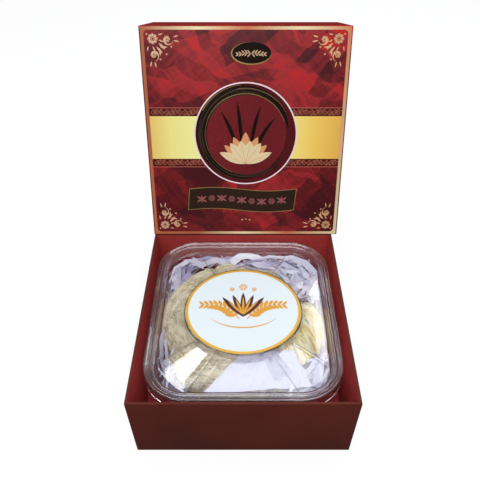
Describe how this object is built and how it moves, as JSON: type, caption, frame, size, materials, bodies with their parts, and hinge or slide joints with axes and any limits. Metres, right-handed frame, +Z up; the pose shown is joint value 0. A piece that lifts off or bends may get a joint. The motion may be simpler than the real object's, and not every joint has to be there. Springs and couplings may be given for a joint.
{
  "type": "edible birds nest gift box",
  "caption": "Opened red gift box: a board tray holds a clear lidded tub of dried half-cup bird's nests on shredded paper, and the deep printed lid leans behind it.",
  "frame": {"origin": "the middle of the whole opened box in plan, on the surface that it stands on", "axes": "+Z up; +Y to the rear, from the tray's front wall to the leaning lid; +X to the right as the printed lid is faced"},
  "size_m": [0.1648, 0.2908, 0.2341],
  "materials": {
    "tray_board": "satin",
    "lid_board": "satin",
    "clear_plastic": "gloss",
    "label_paper": "satin",
    "shredded_paper": "matte",
    "nest": "matte"
  },
  "bodies": {
    "root": {"tray": "tray_board", "box_lid": "lid_board", "tub": "clear_plastic", "tub_lid": "clear_plastic", "label": "label_paper", "paper_bed": "shredded_paper", "paper_heap_rear_right": "shredded_paper", "paper_heap_rear_left": "shredded_paper", "paper_heap_front_left": "shredded_paper", "paper_heap_front_right": "shredded_paper", "nest_1": "nest", "nest_2": "nest", "nest_3": "nest", "nest_4": "nest", "nest_5": "nest"}
  },
  "joints": []
}
